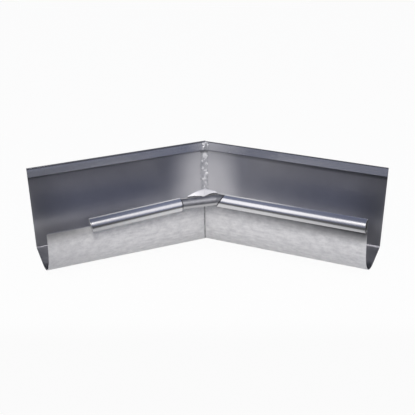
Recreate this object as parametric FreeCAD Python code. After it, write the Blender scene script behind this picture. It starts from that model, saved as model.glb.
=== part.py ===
import FreeCAD, Part
import math
import os

Vector = FreeCAD.Vector

# An internal mitre for a quad roof gutter: two lengths of bent sheet lapped and soldered at the corner.
# Millimetres and degrees. +Z is up, the trough faces -Y, the back walls face +Y.

# Sheet and corner
SHEET = 0.48                  # coated sheet thickness
MITRE_ANGLE = 135.0           # inside angle of the two front walls
LEFT_LENGTH = 210.7           # along the back, corner to cut end
RIGHT_LENGTH = 216.2
LAP_WIDTH = 6.0               # tab of the right length lying inside the left one
LAP_CLEARANCE = 0.05          # solder film in the lap
LAP_TOP = 89.0                # top of the tab on the back wall

# Gutter section, outside of the sheet
BACK_HEIGHT = 100.0
LIP_LENGTH = 9.4              # straight of the folded top lip
LIP_ANGLE = 10.0              # between the lip and the back wall
LIP_RADIUS = 0.6              # inside radius of the top fold
BACK_RADIUS = 1.5             # inside radius of the back to sole bend
SOLE_WIDTH = 87.0             # back face to where sole and front wall would meet
FRONT_RADIUS = 60.0           # outside radius of the rounded front
FRONT_LEAN = 12.0             # front wall out of the vertical

# Rolled bead along the rim: level on the right, falling towards the outer end on the left
RIM_RADIUS = 1.2              # inside radius of the bend at the rim
BEAD_RISE = 6.0               # slope of the short flat behind the round
BEAD_FLAT = 2.0
BEAD_GAP = 0.3                # rolled edge to front wall
BEAD_RADIUS = 6.5             # inside radius of the round
RIGHT_RIM_HEIGHT = 87.4       # rims above the sole
LEFT_INNER_RIM_HEIGHT = 84.6
LEFT_OUTER_RIM_HEIGHT = 79.4
LEFT_CUT_LEAN = 10.0          # snipped outer end of the left bead, out of the vertical
NOTCH_LENGTH = 42.2           # bead cut away at the left end for the next length
NOTCH_HEIGHT = 68.9           # front wall left standing there

# Corner of the beads, distances from where the two bead lines cross
LEFT_BEAD_SETBACK = 26.8
RIGHT_BEAD_SETBACK = 19.3
RIGHT_CUT_LEAN = 30.0         # snipped end of the right bead, out of the vertical

# Strip that fills the corner, flattened forward from a rim that is pulled up at the mitre
CORNER_RIM_HEIGHT = 89.7
WEB_FALL = 45.0               # slope of the strip
RIGHT_WEB_FALL = 38.0         # slope at its right end
LEFT_WEB_LENGTH = 18.8        # from the mitre to where its rim is down at the bead's
RIGHT_WEB_LENGTH = 15.3
LEFT_WEB_CURVE = 2            # power of the length with which the rim comes down
RIGHT_WEB_CURVE = 6
WEB_SECTIONS = 4
WEB_RADIUS = 0.3              # inside radius of the strip's bend
RIM_FOLD = 2.0                # narrow fold left on the rim between strip and right bead
FOLD_SLIT = 1.2               # snip between strip and fold

# Bead joiner, a bent half-round channel pushed into both beads
JOINER_SHEET = 0.6
JOINER_RADIUS = 5.5           # outside
JOINER_CLEARANCE = 0.1        # joiner to inside of the beads, where it touches them
JOINER_SEAT = 45.0            # direction in which it lies off the beads' axes, up from forward
JOINER_WRAP = 200.0           # arc of the channel
JOINER_INSERT = 16.0          # length inside each bead
LEFT_KINK = 25.8              # bends of the joiner, from the crossing of the bead lines
RIGHT_KINK = 14.8

# Solder along the inside of the mitre
SOLDER = 0.8
SOLDER_LEFT = 7.0             # width on the left length, over the tab and its edge
SOLDER_RIGHT = 4.0
SOLDER_TOP = 88.0
LIP_SOLDER_WIDTH = 5.0

HALF_TURN = (180.0 - MITRE_ANGLE) / 2
HALF_TAN = math.tan(math.radians(HALF_TURN))
LAP_INSET = SHEET + LAP_CLEARANCE
BEYOND = 1000.0


# Section drawing: a pose is (u, z, heading) on the outside face, u forward from the back face

def along(heading, distance):
    angle = math.radians(heading)
    return distance * math.cos(angle), distance * math.sin(angle)


def beside(pose, distance):
    """The point at a distance to the left of a pose, which is the water side."""
    du, dz = along(pose[2] + 90, distance)
    return pose[0] + du, pose[1] + dz


def straight(length):
    return ("straight", length)


def bend(turn, radius):
    """A bend by turn, positive to the water side, with its inside radius."""
    return ("bend", turn, radius)


def outside_radius(turn, radius):
    return radius + SHEET if turn > 0 else radius


def advance(pose, move):
    if move[0] == "straight":
        du, dz = along(pose[2], move[1])
        return pose[0] + du, pose[1] + dz, pose[2]
    turn, radius = move[1], outside_radius(move[1], move[2])
    side = math.copysign(radius, turn)
    centre = beside(pose, side)
    heading = pose[2] + turn
    du, dz = along(heading - 90, side)
    return centre[0] + du, centre[1] + dz, heading


def face_edges(pose, moves, offset):
    """Edges of one face of the sheet, at an offset to the water side of the outside face."""
    edges = []
    for move in moves:
        end = advance(pose, move)
        first = Vector(0, *beside(pose, offset))
        last = Vector(0, *beside(end, offset))
        if move[0] == "straight":
            edges.append(Part.LineSegment(first, last).toShape())
        else:
            half = advance(pose, bend(move[1] / 2, move[2]))
            edges.append(Part.Arc(first, Vector(0, *beside(half, offset)), last).toShape())
        pose = end
    return edges, pose


def sheet_face(pose, moves, inset, thickness):
    near, end = face_edges(pose, moves, inset)
    far, _ = face_edges(pose, moves, inset + thickness)
    caps = []
    for at in (pose, end):
        first = Vector(0, *beside(at, inset))
        last = Vector(0, *beside(at, inset + thickness))
        caps.append(Part.LineSegment(first, last).toShape())
    ring = near + [caps[1]] + far[::-1] + [caps[0]]
    return Part.Face(Part.Wire(Part.sortEdges(ring)[0]))


# Gutter section: lip, back, sole, rounded front, rim

def lip_start():
    radius = LIP_RADIUS + SHEET
    du, dz = along(LIP_ANGLE, radius)
    back_u, back_z = along(LIP_ANGLE - 90, LIP_LENGTH)
    return radius + du + back_u, BACK_HEIGHT - radius + dz + back_z, LIP_ANGLE + 90


def wall_at(z):
    """Outside of the front wall at a height."""
    return SOLE_WIDTH + z * math.tan(math.radians(FRONT_LEAN))


def channel_moves(top, front_top):
    """Down the back wall from a height, along the sole and up the front wall to another."""
    back_out = BACK_RADIUS + SHEET
    turn = 90 - FRONT_LEAN
    reach = FRONT_RADIUS * math.tan(math.radians(turn / 2))
    rise = front_top / math.cos(math.radians(FRONT_LEAN))
    return [
        straight(top - back_out),
        bend(90, BACK_RADIUS),
        straight(SOLE_WIDTH - reach - back_out),
        bend(turn, FRONT_RADIUS - SHEET),
        straight(rise - reach),
    ]


def rim_pose(height, radius):
    """Outside of the front wall where the bend at the rim begins."""
    centre_z = height - SHEET - radius
    z = centre_z + radius * math.sin(math.radians(FRONT_LEAN))
    return wall_at(z), z, 90 - FRONT_LEAN


def upper_wall(height, radius):
    """Pose at the height of the notch, and the straight from there up to the bend at the rim."""
    top = rim_pose(height, radius)[1]
    rise = (top - NOTCH_HEIGHT) / math.cos(math.radians(FRONT_LEAN))
    return (wall_at(NOTCH_HEIGHT), NOTCH_HEIGHT, 90 - FRONT_LEAN), straight(rise)


def rim_bend(fall, radius):
    """Bend from the front wall to a strip that falls forward by an angle."""
    return bend(-(90 - FRONT_LEAN + fall), radius)


def bead_moves(height, radius):
    rim = rim_bend(-BEAD_RISE, RIM_RADIUS)
    flat = straight(BEAD_FLAT)
    round_front = bend(-(180 + BEAD_RISE), radius)
    pose = rim_pose(height, RIM_RADIUS)
    for move in (rim, flat, round_front):
        pose = advance(pose, move)
    under = pose[0] - wall_at(pose[1]) - BEAD_GAP
    return [rim, flat, round_front, straight(under)]


def bead_axis(height, radius):
    """Centre of the bead's round, as (u, z)."""
    pose = rim_pose(height, RIM_RADIUS)
    for move in bead_moves(height, radius)[:2]:
        pose = advance(pose, move)
    return beside(pose, -radius)


RIGHT_BEAD_RADIUS = BEAD_RADIUS - LAP_INSET
RIGHT_BEAD_U, RIGHT_BEAD_Z = bead_axis(RIGHT_RIM_HEIGHT, RIGHT_BEAD_RADIUS)
BEAD_CROSSING = RIGHT_BEAD_U * HALF_TAN
RIM_CROSSING = rim_pose(CORNER_RIM_HEIGHT, WEB_RADIUS)[0] * HALF_TAN
LEFT_BEAD_START = BEAD_CROSSING + LEFT_BEAD_SETBACK
LEFT_BEAD_END = LEFT_LENGTH - NOTCH_LENGTH


# Placing: a length runs along local +X with its section in YZ, and is turned to the left of the corner

def run(face, start, end):
    prism = face.extrude(Vector(end - start, 0, 0))
    prism.translate(Vector(start, 0, 0))
    return prism


def to_left(shape):
    shape = shape.copy()
    shape.rotate(Vector(0, 0, 0), Vector(0, 0, 1), 180 + HALF_TURN)
    return shape


def to_right(shape):
    return to_left(shape).mirror(Vector(0, 0, 0), Vector(1, 0, 0))


def left_point(s, u, z):
    du = along(180 + HALF_TURN, s)
    dv = along(270 + HALF_TURN, u)
    return Vector(du[0] + dv[0], du[1] + dv[1], z)


def right_point(s, u, z):
    point = left_point(s, u, z)
    return Vector(-point.x, point.y, point.z)


def turned(shape, direction):
    """A shape laid out along +X, turned to run in a direction with its +Y side kept level."""
    side = Vector(0, 0, 1).cross(direction)
    up = direction.cross(side)
    shape = shape.copy()
    shape.Placement = FreeCAD.Placement(Vector(0, 0, 0), FreeCAD.Rotation(direction, side, up, "XYZ"))
    return shape


def ahead(point, direction):
    """Everything beyond a plane through a point and square to a direction."""
    block = Part.makeBox(BEYOND, 2 * BEYOND, 2 * BEYOND, Vector(0, -BEYOND, -BEYOND))
    block = turned(block, direction)
    block.translate(point)
    return block


MITRE_POINT = Vector(0, 0, 0)
TO_RIGHT = Vector(1, 0, 0)
TO_LEFT = Vector(-1, 0, 0)


# Line of the joiner, from inside the right bead to inside the left one

def seated(axis):
    """The joiner's axis, as (u, z), where it lies against the round of a bead."""
    off = along(JOINER_SEAT, BEAD_RADIUS - JOINER_RADIUS - JOINER_CLEARANCE)
    return axis[0] + off[0], axis[1] + off[1]


def left_axis(s):
    """Point of the joiner's axis in the left bead, which falls evenly towards the outer end."""
    inner = seated(bead_axis(LEFT_INNER_RIM_HEIGHT, BEAD_RADIUS))
    outer = seated(bead_axis(LEFT_OUTER_RIM_HEIGHT, BEAD_RADIUS))
    share = (s - LEFT_BEAD_START) / (LEFT_BEAD_END - LEFT_BEAD_START)
    return left_point(s, *[a + (b - a) * share for a, b in zip(inner, outer)])


def right_axis(s):
    return right_point(s, *seated((RIGHT_BEAD_U, RIGHT_BEAD_Z)))


JOINER_LINE = [
    right_axis(BEAD_CROSSING + RIGHT_BEAD_SETBACK + JOINER_INSERT),
    right_axis(BEAD_CROSSING + RIGHT_KINK),
    left_axis(BEAD_CROSSING + LEFT_KINK),
    left_axis(LEFT_BEAD_START + JOINER_INSERT),
]


# The two lengths of gutter

def channel(length, inset):
    pose = lip_start()
    fold = [straight(LIP_LENGTH), bend(180 - LIP_ANGLE, LIP_RADIUS)]
    walls = channel_moves(BACK_HEIGHT - LIP_RADIUS - SHEET, NOTCH_HEIGHT)
    return run(sheet_face(pose, fold + walls, inset, SHEET), -LIP_LENGTH, length)


def bead_face(height, radius, inset):
    """Upper wall and rolled bead, in one."""
    pose, rise = upper_wall(height, RIM_RADIUS)
    return sheet_face(pose, [rise] + bead_moves(height, radius), inset, SHEET)


def left_bead():
    """Ruled between its inner and outer sections, and snipped at the outer end."""
    inner = bead_face(LEFT_INNER_RIM_HEIGHT, BEAD_RADIUS, 0).OuterWire
    outer = bead_face(LEFT_OUTER_RIM_HEIGHT, BEAD_RADIUS, 0).OuterWire
    inner.translate(Vector(LEFT_BEAD_START, 0, 0))
    outer.translate(Vector(LEFT_BEAD_END, 0, 0))
    roll = Part.makeLoft([inner, outer], True, True)
    return roll.cut(ahead(Vector(LEFT_BEAD_END, 0, LEFT_OUTER_RIM_HEIGHT), lean_forward(-LEFT_CUT_LEAN)))


def right_bead():
    roll = run(bead_face(RIGHT_RIM_HEIGHT, RIGHT_BEAD_RADIUS, LAP_INSET), BEAD_CROSSING, RIGHT_LENGTH)
    snip = Vector(BEAD_CROSSING + RIGHT_BEAD_SETBACK, 0, RIGHT_BEAD_Z)
    return roll.cut(ahead(snip, lean_forward(-RIGHT_CUT_LEAN).negative()))


def lean_forward(angle):
    """Direction along a length, tipped up by an angle."""
    reach, rise = along(angle, 1)
    return Vector(reach, 0, rise)


def plain_wall(height, start, end, inset):
    """Upper wall between the corner strip and the bead."""
    pose, rise = upper_wall(height, RIM_RADIUS)
    return run(sheet_face(pose, [rise], inset, SHEET), start, end)


def rim_fold(start, end):
    """The narrow flat left on the right rim beside the bead."""
    pose, rise = upper_wall(RIGHT_RIM_HEIGHT, RIM_RADIUS)
    moves = [rise, rim_bend(-BEAD_RISE, RIM_RADIUS), straight(RIM_FOLD)]
    return run(sheet_face(pose, moves, LAP_INSET, SHEET), start, end)


def web_section(s, height, fall, inset):
    pose, rise = upper_wall(height, WEB_RADIUS)
    moves = [rise, rim_bend(fall, WEB_RADIUS), straight(LEFT_BEAD_SETBACK)]
    wire = sheet_face(pose, moves, inset, SHEET).OuterWire
    wire.translate(Vector(s, 0, 0))
    return wire


def web(length, curve, end_height, end_fall, inset):
    """Upper wall and corner strip, ruled between sections whose rim comes down in a curve to the bead's."""
    sections = [web_section(0, CORNER_RIM_HEIGHT, WEB_FALL, inset)]
    for i in range(WEB_SECTIONS + 1):
        share = i / WEB_SECTIONS
        height = CORNER_RIM_HEIGHT + (end_height - CORNER_RIM_HEIGHT) * share ** curve
        fall = WEB_FALL + (end_fall - WEB_FALL) * share
        sections.append(web_section(RIM_CROSSING + length * share, height, fall, inset))
    return Part.makeLoft(sections, True, True)


def web_limit():
    """Everything in front of the strip's free edge, which runs straight between the two ends of its rim."""
    left_u = rim_pose(LEFT_INNER_RIM_HEIGHT, WEB_RADIUS)[0] + RIM_RADIUS
    right_u = rim_pose(RIGHT_RIM_HEIGHT, WEB_RADIUS)[0] + RIM_RADIUS
    left = left_point(RIM_CROSSING + LEFT_WEB_LENGTH, left_u, 0)
    right = right_point(RIM_CROSSING + RIGHT_WEB_LENGTH, right_u, 0)
    return ahead(right, Vector(0, 0, 1).cross(left.sub(right)).normalize())


def left_gutter():
    trough = channel(LEFT_LENGTH, 0)
    wall = plain_wall(LEFT_INNER_RIM_HEIGHT, RIM_CROSSING + LEFT_WEB_LENGTH, LEFT_BEAD_START, 0)
    corner = web(LEFT_WEB_LENGTH, LEFT_WEB_CURVE, LEFT_INNER_RIM_HEIGHT, WEB_FALL, 0)
    corner = to_left(corner).cut(web_limit())
    shape = to_left(trough).fuse([to_left(wall), to_left(left_bead()), corner])
    return shape.cut(ahead(MITRE_POINT, TO_RIGHT)).removeSplitter()


def lap_tab():
    """Tab bent round the corner from the right length, nested in the left one."""
    moves = channel_moves(LAP_TOP, NOTCH_HEIGHT)
    face = sheet_face((0, LAP_TOP, -90), moves, LAP_INSET, SHEET)
    return lap_strip(face, LAP_WIDTH)


def lap_strip(face, width):
    """A strip of the left length's section that follows the mitre, of a width along the wall."""
    edge = left_point(width, 0, 0)
    strip = to_left(run(face, 0, SOLE_WIDTH))
    return strip.cut(ahead(MITRE_POINT, TO_RIGHT)).cut(ahead(edge, TO_LEFT))


def right_gutter():
    trough = channel(RIGHT_LENGTH, LAP_INSET)
    web_end = RIM_CROSSING + RIGHT_WEB_LENGTH
    fold_end = BEAD_CROSSING + RIGHT_BEAD_SETBACK + 2 * RIGHT_BEAD_RADIUS
    wall = plain_wall(RIGHT_RIM_HEIGHT, web_end, fold_end, LAP_INSET)
    fold = rim_fold(web_end + FOLD_SLIT, fold_end)
    corner = web(RIGHT_WEB_LENGTH, RIGHT_WEB_CURVE, RIGHT_RIM_HEIGHT, RIGHT_WEB_FALL, LAP_INSET)
    corner = to_right(corner).cut(web_limit())
    shape = to_right(trough).fuse([to_right(wall), to_right(fold), to_right(right_bead()), corner])
    return shape.cut(ahead(MITRE_POINT, TO_LEFT)).fuse(lap_tab()).removeSplitter()


# The joiner between the beads

def joiner_run(start, end):
    """Half-round channel about the line between two points, run past both, open to the wall."""
    half = JOINER_WRAP / 2
    top = along(half, JOINER_RADIUS)
    pose = (top[0], top[1], half - 90)
    face = sheet_face(pose, [bend(-JOINER_WRAP, JOINER_RADIUS)], -JOINER_SHEET, JOINER_SHEET)
    heading = end.sub(start)
    shape = turned(run(face, -JOINER_RADIUS, heading.Length + JOINER_RADIUS), heading.normalize())
    shape.translate(start)
    return shape


def bead_joiner():
    headings = [b.sub(a).normalize() for a, b in zip(JOINER_LINE, JOINER_LINE[1:])]
    cuts = [headings[0]]
    cuts += [a.add(b).normalize() for a, b in zip(headings, headings[1:])]
    cuts += [headings[-1]]
    runs = []
    for i in range(len(headings)):
        start, end = JOINER_LINE[i], JOINER_LINE[i + 1]
        part = joiner_run(start, end)
        runs.append(part.cut(ahead(start, cuts[i].negative())).cut(ahead(end, cuts[i + 1])))
    return runs[0].fuse(runs[1:]).removeSplitter()


# The solder run

def solder_seam():
    start = (0, SOLDER_TOP, -90)
    moves = channel_moves(SOLDER_TOP, NOTCH_HEIGHT)
    over_tab = sheet_face(start, moves, SHEET, LAP_INSET + SOLDER)
    lap_moves = channel_moves(LAP_TOP, NOTCH_HEIGHT)
    lap_space = lap_strip(sheet_face((0, LAP_TOP, -90), lap_moves, SHEET, LAP_INSET), LAP_WIDTH)
    left = lap_strip(over_tab, SOLDER_LEFT).cut(lap_space)
    on_right = sheet_face(start, moves, LAP_INSET + SHEET, SOLDER)
    right = lap_strip(on_right, SOLDER_RIGHT).mirror(Vector(0, 0, 0), Vector(1, 0, 0))
    lip = [straight(LIP_LENGTH)]
    lip_left = lap_strip(sheet_face(lip_start(), lip, -SOLDER, SOLDER), LIP_SOLDER_WIDTH)
    lip_right = lap_strip(sheet_face(lip_start(), lip, LAP_INSET - SOLDER, SOLDER), LIP_SOLDER_WIDTH)
    lip_patch = lip_left.fuse(lip_right.mirror(Vector(0, 0, 0), Vector(1, 0, 0)))
    return Part.makeCompound([left.fuse(right).removeSplitter(), lip_patch.removeSplitter()])


# Stored with the middle of the footprint at the origin, sole on z = 0

def footprint_centre():
    half_turn = math.radians(HALF_TURN)
    front = RIGHT_BEAD_U + RIGHT_BEAD_RADIUS + SHEET + LAP_INSET
    depth = RIGHT_LENGTH * math.sin(half_turn) + front * math.cos(half_turn)
    return Vector((RIGHT_LENGTH - LEFT_LENGTH) / 2 * math.cos(half_turn), -depth / 2, 0)


PIECES = {
    "left_gutter": left_gutter(),
    "right_gutter": right_gutter(),
    "bead_joiner": bead_joiner(),
    "solder_seam": solder_seam(),
}

os.makedirs("parts", exist_ok=True)
for name, shape in PIECES.items():
    shape.translate(footprint_centre().negative())
    shape.exportStep("parts/" + name + ".step")
    print(name, shape.isValid(), len(shape.Solids), round(shape.Volume, 1), shape.BoundBox)
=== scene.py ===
import bpy
import numpy as np
from mathutils import Matrix


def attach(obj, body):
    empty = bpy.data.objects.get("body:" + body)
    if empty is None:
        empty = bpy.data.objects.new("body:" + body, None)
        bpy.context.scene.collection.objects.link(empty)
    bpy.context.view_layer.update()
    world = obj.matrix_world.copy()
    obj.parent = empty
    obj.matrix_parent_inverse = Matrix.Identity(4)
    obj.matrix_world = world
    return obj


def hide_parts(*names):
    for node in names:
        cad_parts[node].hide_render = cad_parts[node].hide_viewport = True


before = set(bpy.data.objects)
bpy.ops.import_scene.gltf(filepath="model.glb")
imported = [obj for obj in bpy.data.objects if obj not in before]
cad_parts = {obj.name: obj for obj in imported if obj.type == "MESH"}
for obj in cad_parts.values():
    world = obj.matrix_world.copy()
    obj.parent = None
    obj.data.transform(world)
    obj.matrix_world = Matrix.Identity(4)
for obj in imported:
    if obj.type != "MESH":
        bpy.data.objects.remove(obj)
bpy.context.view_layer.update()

# LEFT LENGTH OF GUTTER
# Half of the mitre: zinc-coated steel sheet folded on a brake to a quad section, with a lip at the top of the back
# and a rolled bead on the front. The bead falls towards the outer end, where it is cut away for the next length.

MM = 0.001
SHEET = 0.48
HALF_TURN = np.radians(22.5)
TAN, COS, SIN = np.tan(HALF_TURN), np.cos(HALF_TURN), np.sin(HALF_TURN)
CENTRE = np.array([-2.5407, 94.9137, 0.0])     # back corner to the middle of the footprint
LEFT_LENGTH = 210.7
BACK_HEIGHT, LAP_TOP = 100.0, 89.0
LIP_LENGTH, LIP_ANGLE, LIP_RADIUS = 9.4, 10.0, 0.6
BACK_RADIUS, SOLE_WIDTH, FRONT_RADIUS, LEAN = 1.5, 87.0, 60.0, 12.0
LEAN_TAN = np.tan(np.radians(LEAN))
RIM_RADIUS, BEAD_RISE, BEAD_FLAT, BEAD_RADIUS, BEAD_GAP = 1.2, 6.0, 2.0, 6.5, 0.3
NOTCH_HEIGHT, NOTCH_LENGTH = 68.9, 42.2
LEFT_RIM = (84.6, 79.4)                        # inner and outer end of the bead
LEFT_CUT = np.tan(np.radians(10.0))
CORNER_RIM, WEB_FALL, WEB_RADIUS = 89.7, 45.0, 0.3
LEFT_WEB, RIGHT_WEB = 18.8, 15.3
LEFT_SETBACK = 26.8
BEND_STEP, STRAIGHT_STEP = 9.0, 5.0            # degrees and millimetres between rows of the grids
FAN = 17                                       # columns of the block beside the mitre
UPPER_DOWN = 0.16                              # flat distance down the section at which the upper wall begins


def trace(pose, moves):
    """Section line as rows of (u, z, heading). A straight adds its length along the heading in even steps. A bend
    swings the point about a centre that lies its radius to one side, in even steps of angle."""
    rows = [np.array([pose])]
    for kind, size, radius in moves:
        u, z, h = rows[-1][-1]
        if kind == "straight":
            t = np.linspace(0, size, max(2, int(np.ceil(size / STRAIGHT_STEP)) + 1))[1:]
            a = np.full(t.shape, np.radians(h))
            rows.append(np.stack([u + t * np.cos(a), z + t * np.sin(a), np.degrees(a)], 1))
        else:
            side = np.sign(size) * (radius + (SHEET if size > 0 else 0))
            t = np.linspace(0, size, max(3, int(np.ceil(abs(size) / BEND_STEP)) + 1))[1:]
            a0, a = np.radians(h), np.radians(h + t)
            rows.append(np.stack([u + side * (np.sin(a) - np.sin(a0)), z - side * (np.cos(a) - np.cos(a0)),
                                  h + t], 1))
    return np.concatenate(rows)


def off(rows, distance):
    """Section rows moved sideways to the water side: each point shifts along its own normal."""
    a = np.radians(rows[:, 2] + 90)
    return rows + np.stack([distance * np.cos(a), distance * np.sin(a), 0 * a], 1)


def place(side, s, u, z):
    """Points of a length in the part's frame: s along the back from the corner, u forward, z up, turned by half
    the bend of the corner. The side is -1 for the left length and 1 for the right one."""
    s, u, z = np.broadcast_arrays(s, u, z)
    return (np.stack([side * (s * COS - u * SIN), -s * SIN - u * COS, z], -1) + CENTRE) * MM


def wall_at(z):
    """Outside of the front wall at a height: a straight line that leans out from the sole."""
    return SOLE_WIDTH + z * LEAN_TAN


def rim_start(height, radius=RIM_RADIUS):
    """Height on the outside of the front wall at which the bend of a rim begins."""
    return height - SHEET - radius + radius * np.sin(np.radians(LEAN))


def channel_rows():
    """Lip, back, sole, rounded front and wall up to the notch, on the outside of the sheet. Also gives the row at
    which the lap tab of the other length begins."""
    fold = LIP_RADIUS + SHEET
    a = np.radians(LIP_ANGLE)
    u = fold + fold * np.cos(a) + LIP_LENGTH * np.sin(a)
    z = BACK_HEIGHT - fold + fold * np.sin(a) - LIP_LENGTH * np.cos(a)
    back = BACK_RADIUS + SHEET
    turn = 90 - LEAN
    reach = FRONT_RADIUS * np.tan(np.radians(turn / 2))
    upper = [("straight", LIP_LENGTH, 0), ("bend", 180 - LIP_ANGLE, LIP_RADIUS),
             ("straight", BACK_HEIGHT - fold - LAP_TOP, 0)]
    lower = [("straight", LAP_TOP - back, 0), ("bend", 90, BACK_RADIUS), ("straight", SOLE_WIDTH - reach - back, 0),
             ("bend", turn, FRONT_RADIUS - SHEET), ("straight", NOTCH_HEIGHT / np.cos(np.radians(LEAN)) - reach, 0)]
    top = trace((u, z, LIP_ANGLE + 90), upper)
    return np.concatenate([top, trace(top[-1], lower)[1:]]), len(top) - 1


def bead_rows(height, radius):
    """Bend of the rim, short flat, round and rolled edge, from the top of the front wall."""
    z = rim_start(height)
    start = (wall_at(z), z, 90 - LEAN)
    rows = trace(start, [("bend", -(90 - LEAN - BEAD_RISE), RIM_RADIUS), ("straight", BEAD_FLAT, 0),
                         ("bend", -(180 + BEAD_RISE), radius)])
    under = rows[-1, 0] - wall_at(rows[-1, 1]) - BEAD_GAP
    return np.concatenate([rows, trace(rows[-1], [("straight", under, 0)])[1:]])


def wall_rows(low, high):
    """Straight upper wall between two heights."""
    z = np.linspace(low, high, max(2, int(np.ceil((high - low) / STRAIGHT_STEP)) + 1))
    return np.stack([wall_at(z), z, np.full(z.shape, 90 - LEAN)], 1)


def mitred(rows, along):
    """Stations of each row: the first value of every pair is the share of the row's own mitre line, where the two
    lengths meet, and the second is a plain distance along the length."""
    return np.outer(rows[:, 0] * TAN, along[:, 0]) + along[:, 1]


def stations(first, *stops):
    """Pairs for the block beside the mitre, which fans out from the mitre line, and for even blocks between
    stops."""
    fan = np.linspace(0, 1, FAN)
    pairs = [np.stack([1 - fan, fan * first], 1)]
    for a, b in zip((first,) + stops, stops):
        s = np.linspace(a, b, max(2, int(np.ceil((b - a) / STRAIGHT_STEP)) + 1))[1:]
        pairs.append(np.stack([0 * s, s], 1))
    return np.concatenate(pairs)


def patch(side, rows, inset, stationed, thickness=SHEET):
    """One piece of sheet as a grid: outside face, water face and flat coordinates (distance along the length and
    along the section), for rows that run the length at the stations a function gives for them."""
    out, inner = off(rows, inset), off(rows, inset + thickness)
    grid = []
    for line in (out, inner):
        s = stationed(line)
        grid.append(place(side, s, line[:, :1], line[:, 1:2]))
    step = np.linalg.norm(np.diff(out[:, :2], axis=0), axis=1)
    t = np.concatenate([[0], np.cumsum(step)])
    flat = np.stack(np.broadcast_arrays(stationed(out), t[:, None]), -1) * MM
    return grid[0], grid[1], flat


def thick_sheet(name, patches, materials, water=None, smooth=0):
    """A closed sheet from grids that share their edges: points of the outside face that coincide are welded, the
    water face repeats its squares the other way round, and every edge with one square only gets a narrow wall. The
    first material is the outside's and the third the cut edges'. The water list names the material of each grid's
    water face, and the first squares, as many as smooth says, have the last material outside."""
    quads, start = [], 0
    for out, _, _ in patches:
        i = np.arange(out.shape[0] * out.shape[1]).reshape(out.shape[:2]) + start
        quads.append(np.stack([i[:-1, :-1], i[1:, :-1], i[1:, 1:], i[:-1, 1:]], -1).reshape(-1, 4))
        start += i.size
    out, inner = (np.concatenate([p[k].reshape(-1, 3) for p in patches]) for k in (0, 1))
    flat = np.concatenate([p[2].reshape(-1, 2) for p in patches])
    quads = np.concatenate(quads)
    cells = np.round(out / (0.002 * MM)).astype(np.int64)
    _, first, weld = np.unique(cells, axis=0, return_index=True, return_inverse=True)
    out, inner, flat, quads = out[first], inner[first], flat[first], weld.reshape(-1)[quads]
    corner = out[quads]
    normal = np.cross(corner[:, 2] - corner[:, 0], corner[:, 3] - corner[:, 1])
    away = (out - inner)[quads].mean(1)
    turned = (normal * away).sum(1) < 0
    quads = np.where(turned[:, None], quads[:, ::-1], quads)
    n = len(out)
    edges = np.stack([quads, np.roll(quads, -1, axis=1)], -1).reshape(-1, 2)
    key, back = edges[:, 0] * n + edges[:, 1], edges[:, 1] * n + edges[:, 0]
    rim = edges[~np.isin(key, back)]
    walls = np.stack([rim[:, 1], rim[:, 0], rim[:, 0] + n, rim[:, 1] + n], 1)
    faces = np.concatenate([quads, quads[:, ::-1] + n, walls])
    kind = np.repeat([0, 1, 2], [len(quads), len(quads), len(walls)])
    if water:
        squares = [(p[0].shape[0] - 1) * (p[0].shape[1] - 1) for p in patches]
        kind[len(quads):2 * len(quads)] = np.repeat(water, squares)
    kind[:smooth] = 3
    mesh = bpy.data.meshes.new(name)
    mesh.from_pydata(np.concatenate([out, inner]), [], faces.tolist())
    mesh.polygons.foreach_set("material_index", np.minimum(kind, len(materials) - 1).astype(np.int32))
    loops = np.empty(len(mesh.loops), np.int32)
    mesh.loops.foreach_get("vertex_index", loops)
    uv = mesh.uv_layers.new(name="flat")
    uv.uv.foreach_set("vector", np.concatenate([flat, flat])[loops].astype(np.float32).ravel())
    for material in materials:
        mesh.materials.append(material)
    mesh.shade_smooth()
    mesh.set_sharp_from_angle(angle=np.radians(16))
    made = bpy.data.objects.new(name, mesh)
    bpy.context.scene.collection.objects.link(made)
    return made


def linear(hex_colour):
    """sRGB hex to a linear colour with alpha."""
    c = np.array([int(hex_colour[i:i + 2], 16) for i in (1, 3, 5)]) / 255
    return (*np.where(c <= 0.04045, c / 12.92, ((c + 0.055) / 1.055) ** 2.4), 1.0)


def add(tree, kind, inputs=None, stops=(), **settings):
    """A node with its settings. An input that is a socket is linked, and any other is set. The stops of a colour
    ramp are positions and hex colours."""
    made = tree.nodes.new(kind)
    for name, value in settings.items():
        setattr(made, name, value)
    for name, value in (inputs or {}).items():
        if isinstance(value, bpy.types.NodeSocket):
            tree.links.new(value, made.inputs[name])
        else:
            made.inputs[name].default_value = value
    for k, (position, colour) in enumerate(stops):
        points = made.color_ramp.elements
        point = points[k] if k < 2 else points.new(position)
        point.position, point.color = position, linear(colour)
    return made


def new_material(name):
    """An empty material and its node tree."""
    made = bpy.data.materials.new(name)
    made.use_nodes = True
    made.node_tree.nodes.clear()
    return made, made.node_tree


# Outside face: hot-dip zinc gone dull and chalky, cloudy in patches about 8 mm across and finely grained, with a
# few smudges along the rolling direction and a dark line of flux in the joint. On the front, shade is painted into
# the colour below the bead, deeper towards the right end and towards the left end, with a darker line of painted
# shadow just below the bead and the joiner on the right length; there is also a streaky smear at the left end. It
# scatters more than it mirrors.
dull_zinc, tree = new_material("dull_galvanised_zinc")
uv = add(tree, "ShaderNodeUVMap", uv_map="flat").outputs["UV"]
cloud = add(tree, "ShaderNodeTexNoise", {"Vector": uv, "Scale": 1 / (8 * MM), "Detail": 6.0, "Roughness": 0.75})
long_way = add(tree, "ShaderNodeMapping", {"Vector": uv, "Scale": (1 / (16 * MM), 1 / (3.5 * MM), 1)})
streak = add(tree, "ShaderNodeTexNoise", {"Vector": long_way.outputs[0], "Scale": 1.0, "Detail": 4.0})
both = add(tree, "ShaderNodeMath", {0: streak.outputs[0], 1: 0.5, 2: cloud.outputs[0]}, operation="MULTIPLY_ADD")
tint = add(tree, "ShaderNodeValToRGB", {"Fac": both.outputs[0]},
           [(0.5, "#C9C9CA"), (0.75, "#E2E2E2"), (1.0, "#F6F6F5")]).outputs["Color"]
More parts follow.
